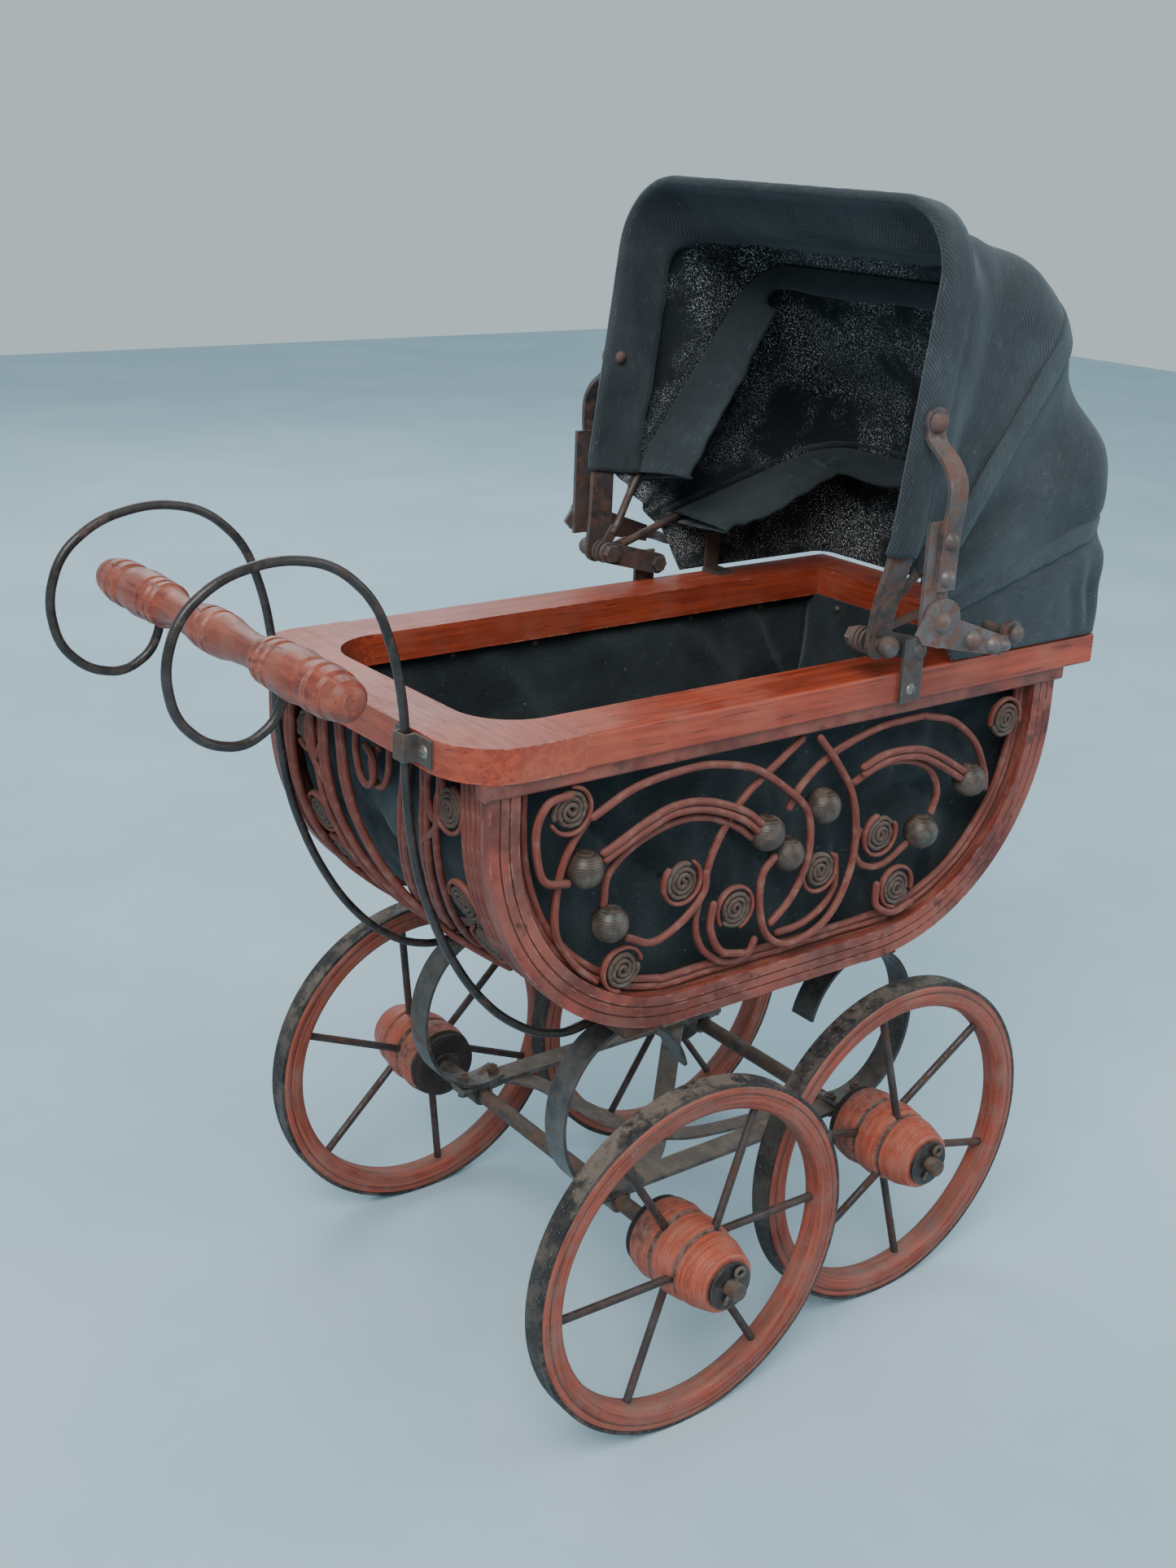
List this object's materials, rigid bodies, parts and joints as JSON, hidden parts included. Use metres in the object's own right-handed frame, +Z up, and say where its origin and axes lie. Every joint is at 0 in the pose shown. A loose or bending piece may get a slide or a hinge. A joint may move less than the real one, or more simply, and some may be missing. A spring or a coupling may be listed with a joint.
{
  "type": "doll pram",
  "caption": "Antique-style doll's pram: boat-shaped cane tub on C springs, spoked wooden wheels, looped wire handle with a turned grip, folding cloth hood with jointed stays.",
  "frame": {"origin": "on the ground under the middle of the overall footprint", "axes": "+X towards the hood end, away from the handle; +Z up; +Y to the left of someone pushing the pram"},
  "size_m": [0.5309, 0.3362, 0.607],
  "materials": {
    "tyre_band": "dusty worn black band",
    "wheel_red": "worn brick-red stain",
    "hub_red": "dusty brick-red stain",
    "spoke_iron": "dark brown rust",
    "axle_iron": "dark brown rust",
    "bare_steel": "dull worn steel",
    "strap_iron": "dusty brown rust",
    "spring_steel": "dark grey-brown, light rust",
    "bearer_wood": "dusty brown",
    "hoop_red": "brick-red stain, satin",
    "board_brown": "dusty brown",
    "lining_cloth": "matt black cloth",
    "rim_red_along": "orange-red stain over open grain, satin",
    "rim_red_across": "orange-red stain over open grain, satin",
    "cane_red": "worn red-brown stain",
    "bead_brown": "worn grey-brown",
    "coil_brown": "worn brown",
    "rod_iron": "dark, glossy in places",
    "grip_red": "orange-red stain, satin, scuffed",
    "fitting_iron": "brown rust",
    "bow_iron": "brown rust",
    "rivet_iron": "brown rust",
    "stay_iron": "mottled brown rust",
    "hood_cloth": "matt blue-black canvas"
  },
  "bodies": {
    "tub_and_chassis": {"axles": "axle_iron", "hub_washers": "axle_iron", "cotter_pins": "bare_steel", "cross_brace_upper": "strap_iron", "cross_brace_lower": "strap_iron", "axle_saddles": "strap_iron", "c_springs": "spring_steel", "chassis_rails": "strap_iron", "tub_bearers": "bearer_wood", "chassis_bolts": "axle_iron", "side_hoop_right": "hoop_red", "side_hoop_left": "hoop_red", "floor_board": "board_brown", "lining": "lining_cloth", "side_mouldings": "hoop_red", "rim_handle_end": "rim_red_across", "rim_rail_right": "rim_red_along", "rim_rail_left": "rim_red_along", "rim_hood_end": "rim_red_across", "scrollwork_right": "cane_red", "scrollwork_left": "cane_red", "wooden_beads": "bead_brown", "end_canes": "cane_red", "cane_coils": "coil_brown", "handle_rod_right": "rod_iron", "handle_rod_left": "rod_iron", "handle_grip": "grip_red", "handle_clips": "fitting_iron", "slotted_screws": "bare_steel", "hood_brackets": "fitting_iron", "bracket_arms": "fitting_iron", "hood_pins": "fitting_iron", "stay_anchors": "fitting_iron", "hood_apron": "hood_cloth"},
    "wheel_handle_right": {"tyre_handle_right": "tyre_band", "wheel_rim_handle_right": "wheel_red", "wheel_spokes_handle_right": "spoke_iron", "wheel_hub_handle_right": "hub_red"},
    "wheel_handle_left": {"tyre_handle_left": "tyre_band", "wheel_rim_handle_left": "wheel_red", "wheel_spokes_handle_left": "spoke_iron", "wheel_hub_handle_left": "hub_red"},
    "wheel_hood_right": {"tyre_hood_right": "tyre_band", "wheel_rim_hood_right": "wheel_red", "wheel_spokes_hood_right": "spoke_iron", "wheel_hub_hood_right": "hub_red"},
    "wheel_hood_left": {"tyre_hood_left": "tyre_band", "wheel_rim_hood_left": "wheel_red", "wheel_spokes_hood_left": "spoke_iron", "wheel_hub_hood_left": "hub_red"},
    "rear_bow": {"rear_bow": "bow_iron"},
    "middle_bow": {"middle_bow": "bow_iron", "hood_cloth_middle": "hood_cloth"},
    "front_bow": {"front_bow": "bow_iron", "stay_rivets": "rivet_iron", "hood_cloth_front": "hood_cloth"},
    "stay_upper_right": {"stay_upper_right": "stay_iron"},
    "stay_lower_right": {"stay_lower_right": "stay_iron"},
    "stay_upper_left": {"stay_upper_left": "stay_iron"},
    "stay_lower_left": {"stay_lower_left": "stay_iron"}
  },
  "joints": [
    {"name": "spin_handle_right", "type": "hinge", "parent": "tub_and_chassis", "child": "wheel_handle_right", "pos_m": [-0.026, -0.13, 0.097], "axis": [0, 1, 0], "continuous": true},
    {"name": "spin_handle_left", "type": "hinge", "parent": "tub_and_chassis", "child": "wheel_handle_left", "pos_m": [-0.026, 0.13, 0.097], "axis": [0, 1, 0], "continuous": true},
    {"name": "spin_hood_right", "type": "hinge", "parent": "tub_and_chassis", "child": "wheel_hood_right", "pos_m": [0.14, -0.1045, 0.097], "axis": [0, 1, 0], "continuous": true},
    {"name": "spin_hood_left", "type": "hinge", "parent": "tub_and_chassis", "child": "wheel_hood_left", "pos_m": [0.14, 0.1045, 0.097], "axis": [0, 1, 0], "continuous": true},
    {"name": "fold_rear_bow", "type": "hinge", "parent": "tub_and_chassis", "child": "rear_bow", "pos_m": [0.082, 0, 0.398], "axis": [0, 1, 0], "range_deg": [0, 6]},
    {"name": "fold_middle_bow", "type": "hinge", "parent": "rear_bow", "child": "middle_bow", "pos_m": [0.082, 0, 0.398], "axis": [0, 1, 0], "range_deg": [0, 22]},
    {"name": "fold_front_bow", "type": "hinge", "parent": "middle_bow", "child": "front_bow", "pos_m": [0.082, 0, 0.398], "axis": [0, 1, 0], "range_deg": [0, 18]},
    {"name": "stay_top_right", "type": "hinge", "parent": "front_bow", "child": "stay_upper_right", "pos_m": [0.09694, -0.1255, 0.50567], "axis": [0, 1, 0], "range_deg": [0, 7.5]},
    {"name": "stay_anchor_right", "type": "hinge", "parent": "tub_and_chassis", "child": "stay_lower_right", "pos_m": [0.1635, -0.1288, 0.396], "axis": [0, 1, 0], "range_deg": [-4.1, 0]},
    {"name": "stay_top_left", "type": "hinge", "parent": "front_bow", "child": "stay_upper_left", "pos_m": [0.09694, 0.1255, 0.50567], "axis": [0, 1, 0], "range_deg": [0, 7.5]},
    {"name": "stay_anchor_left", "type": "hinge", "parent": "tub_and_chassis", "child": "stay_lower_left", "pos_m": [0.1635, 0.1288, 0.396], "axis": [0, 1, 0], "range_deg": [-4.1, 0]}
  ],
  "couplings": [
    {"joint": "fold_rear_bow", "follows": "fold_middle_bow", "ratio": 0.27273},
    {"joint": "fold_front_bow", "follows": "fold_middle_bow", "ratio": 0.81818},
    {"joint": "stay_top_right", "follows": "fold_middle_bow", "ratio": 0.34057},
    {"joint": "stay_anchor_right", "follows": "fold_middle_bow", "ratio": -0.18618},
    {"joint": "stay_top_left", "follows": "fold_middle_bow", "ratio": 0.34057},
    {"joint": "stay_anchor_left", "follows": "fold_middle_bow", "ratio": -0.18618}
  ]
}
